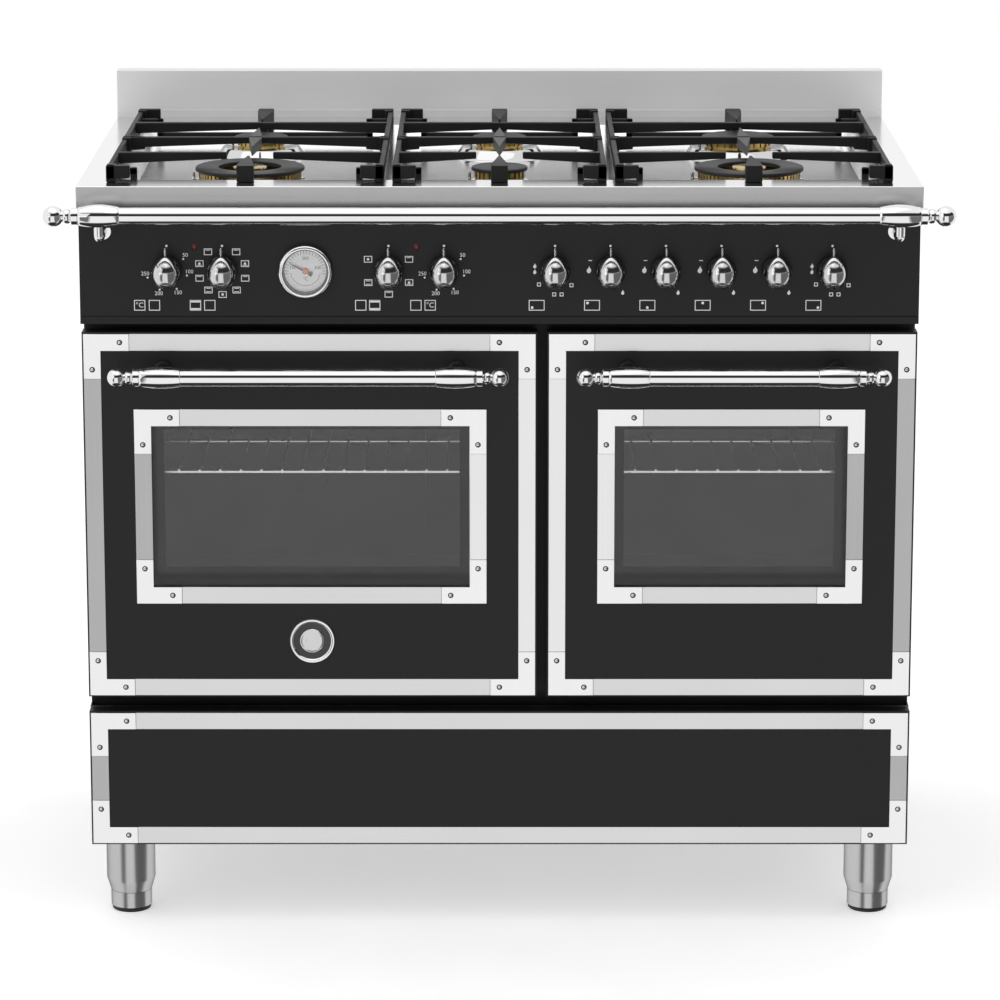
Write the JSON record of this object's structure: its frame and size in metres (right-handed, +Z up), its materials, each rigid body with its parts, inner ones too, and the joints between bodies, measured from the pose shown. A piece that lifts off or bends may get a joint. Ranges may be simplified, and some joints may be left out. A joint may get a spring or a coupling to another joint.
{
  "type": "range cooker",
  "caption": "Free-standing range cooker with a gas hob, a pair of drop-door ovens, a control panel with knobs and a drawer on round legs.",
  "frame": {"origin": "middle of the footprint's bounding box, on the floor", "axes": "+X to the right seen from the front, +Y to the back, +Z up"},
  "size_m": [1.07, 0.6663, 0.972],
  "materials": {
    "black_enamel": "satin black enamel",
    "oven_enamel": "dark grey oven enamel",
    "brushed_steel": "brushed stainless",
    "plain_steel": "plain sheet steel",
    "chrome": "polished chrome",
    "cast_iron": "matt black cast iron",
    "brass": "machined brass",
    "aluminium": "polished cast aluminium",
    "glass": "tinted oven glass",
    "seal_rubber": "heat-proof seal",
    "lamp_red": "clear red lens",
    "switch_body": "moulded black",
    "pointer": "dark painted needle"
  },
  "bodies": {
    "body": {"side_panels": "black_enamel", "back_panel": "plain_steel", "base_pan": "plain_steel", "front_frame": "black_enamel", "control_panel": "black_enamel", "hob_top": "brushed_steel", "backguard": "brushed_steel", "oven_cavity_left": "oven_enamel", "oven_cavity_right": "oven_enamel", "legs": "brushed_steel", "handrail": "chrome", "gas_manifold": "brass", "oven_switches": "switch_body", "burner_bases": "aluminium", "burner_crowns": "brass", "burner_caps": "cast_iron", "thermometer_case": "chrome", "indicator_lamps": "lamp_red", "rack_ladders": "plain_steel", "heating_elements": "plain_steel", "fan_cover": "oven_enamel", "door_seals": "seal_rubber"},
    "door_left": {"door_left_panel": "black_enamel", "door_left_liner": "oven_enamel", "door_left_glass": "glass", "door_left_trim": "brushed_steel", "door_left_handle": "chrome", "door_left_hinges": "plain_steel"},
    "door_right": {"door_right_panel": "black_enamel", "door_right_liner": "oven_enamel", "door_right_glass": "glass", "door_right_trim": "brushed_steel", "door_right_handle": "chrome", "door_right_hinges": "plain_steel"},
    "drawer": {"drawer_front": "black_enamel", "drawer_box": "plain_steel", "drawer_trim": "brushed_steel"},
    "fan": {"oven_fan": "plain_steel"},
    "grate_left": {"grate_left": "cast_iron"},
    "grate_centre": {"grate_centre": "cast_iron"},
    "grate_right": {"grate_right": "cast_iron"},
    "knob_thermostat_left": {"knob_thermostat_left": "chrome"},
    "knob_selector_left": {"knob_selector_left": "chrome"},
    "knob_selector_right": {"knob_selector_right": "chrome"},
    "knob_thermostat_right": {"knob_thermostat_right": "chrome"},
    "gas_spindle_1": {"gas_spindle_1": "brass"},
    "knob_gas_1": {"knob_gas_1": "chrome"},
    "gas_spindle_2": {"gas_spindle_2": "brass"},
    "knob_gas_2": {"knob_gas_2": "chrome"},
    "gas_spindle_3": {"gas_spindle_3": "brass"},
    "knob_gas_3": {"knob_gas_3": "chrome"},
    "gas_spindle_4": {"gas_spindle_4": "brass"},
    "knob_gas_4": {"knob_gas_4": "chrome"},
    "gas_spindle_5": {"gas_spindle_5": "brass"},
    "knob_gas_5": {"knob_gas_5": "chrome"},
    "gas_spindle_6": {"gas_spindle_6": "brass"},
    "knob_gas_6": {"knob_gas_6": "chrome"},
    "rack_left": {"rack_left": "plain_steel"},
    "rack_right": {"rack_right": "plain_steel"},
    "thermometer_pointer": {"thermometer_pointer": "pointer"}
  },
  "joints": [
    {"name": "door_left_hinge", "type": "hinge", "parent": "body", "child": "door_left", "pos_m": [0, -0.24675, 0.294], "axis": [1, 0, 0], "range_deg": [0, 90], "stiffness_Nm_per_rad": 9, "springref_deg": -17.19},
    {"name": "door_right_hinge", "type": "hinge", "parent": "body", "child": "door_right", "pos_m": [0, -0.24675, 0.294], "axis": [1, 0, 0], "range_deg": [0, 90], "stiffness_Nm_per_rad": 7.5, "springref_deg": -17.19},
    {"name": "drawer_slide", "type": "slide", "parent": "body", "child": "drawer", "axis": [0, -1, 0], "range_m": [0, 0.33]},
    {"name": "fan_spin", "type": "hinge", "parent": "body", "child": "fan", "pos_m": [-0.226, 0.19825, 0.5205], "axis": [0, 1, 0], "continuous": true},
    {"name": "grate_left_lift", "type": "slide", "parent": "body", "child": "grate_left", "axis": [0, 0, 1], "range_m": [0, 0.1]},
    {"name": "grate_centre_lift", "type": "slide", "parent": "body", "child": "grate_centre", "axis": [0, 0, 1], "range_m": [0, 0.1]},
    {"name": "grate_right_lift", "type": "slide", "parent": "body", "child": "grate_right", "axis": [0, 0, 1], "range_m": [0, 0.1]},
    {"name": "knob_thermostat_left_turn", "type": "hinge", "parent": "body", "child": "knob_thermostat_left", "pos_m": [-0.3942, -0.26675, 0.809], "axis": [0, 1, 0], "range_deg": [0, 270]},
    {"name": "knob_selector_left_turn", "type": "hinge", "parent": "body", "child": "knob_selector_left", "pos_m": [-0.3285, -0.26675, 0.809], "axis": [0, 1, 0], "continuous": true},
    {"name": "knob_selector_right_turn", "type": "hinge", "parent": "body", "child": "knob_selector_right", "pos_m": [-0.1314, -0.26675, 0.809], "axis": [0, 1, 0], "continuous": true},
    {"name": "knob_thermostat_right_turn", "type": "hinge", "parent": "body", "child": "knob_thermostat_right", "pos_m": [-0.0657, -0.26675, 0.809], "axis": [0, 1, 0], "range_deg": [0, 270]},
    {"name": "knob_gas_1_turn", "type": "hinge", "parent": "body", "child": "gas_spindle_1", "pos_m": [0.0657, -0.26675, 0.809], "axis": [0, -1, 0], "range_deg": [0, 240]},
    {"name": "knob_gas_1_push", "type": "slide", "parent": "gas_spindle_1", "child": "knob_gas_1", "axis": [0, 1, 0], "range_m": [0, 0.004], "stiffness_N_per_m": 2000},
    {"name": "knob_gas_2_turn", "type": "hinge", "parent": "body", "child": "gas_spindle_2", "pos_m": [0.1314, -0.26675, 0.809], "axis": [0, -1, 0], "range_deg": [0, 210]},
    {"name": "knob_gas_2_push", "type": "slide", "parent": "gas_spindle_2", "child": "knob_gas_2", "axis": [0, 1, 0], "range_m": [0, 0.004], "stiffness_N_per_m": 2000},
    {"name": "knob_gas_3_turn", "type": "hinge", "parent": "body", "child": "gas_spindle_3", "pos_m": [0.1971, -0.26675, 0.809], "axis": [0, -1, 0], "range_deg": [0, 210]},
    {"name": "knob_gas_3_push", "type": "slide", "parent": "gas_spindle_3", "child": "knob_gas_3", "axis": [0, 1, 0], "range_m": [0, 0.004], "stiffness_N_per_m": 2000},
    {"name": "knob_gas_4_turn", "type": "hinge", "parent": "body", "child": "gas_spindle_4", "pos_m": [0.2628, -0.26675, 0.809], "axis": [0, -1, 0], "range_deg": [0, 210]},
    {"name": "knob_gas_4_push", "type": "slide", "parent": "gas_spindle_4", "child": "knob_gas_4", "axis": [0, 1, 0], "range_m": [0, 0.004], "stiffness_N_per_m": 2000},
    {"name": "knob_gas_5_turn", "type": "hinge", "parent": "body", "child": "gas_spindle_5", "pos_m": [0.3285, -0.26675, 0.809], "axis": [0, -1, 0], "range_deg": [0, 210]},
    {"name": "knob_gas_5_push", "type": "slide", "parent": "gas_spindle_5", "child": "knob_gas_5", "axis": [0, 1, 0], "range_m": [0, 0.004], "stiffness_N_per_m": 2000},
    {"name": "knob_gas_6_turn", "type": "hinge", "parent": "body", "child": "gas_spindle_6", "pos_m": [0.3942, -0.26675, 0.809], "axis": [0, -1, 0], "range_deg": [0, 240]},
    {"name": "knob_gas_6_push", "type": "slide", "parent": "gas_spindle_6", "child": "knob_gas_6", "axis": [0, 1, 0], "range_m": [0, 0.004], "stiffness_N_per_m": 2000},
    {"name": "rack_left_slide", "type": "slide", "parent": "body", "child": "rack_left", "axis": [0, -1, 0], "range_m": [-0.012, 0.018]},
    {"name": "rack_right_slide", "type": "slide", "parent": "body", "child": "rack_right", "axis": [0, -1, 0], "range_m": [-0.012, 0.018]},
    {"name": "thermometer_turn", "type": "hinge", "parent": "body", "child": "thermometer_pointer", "pos_m": [-0.22995, -0.26675, 0.809], "axis": [0, 1, 0], "range_deg": [-75, 195], "stiffness_Nm_per_rad": 0.01}
  ]
}
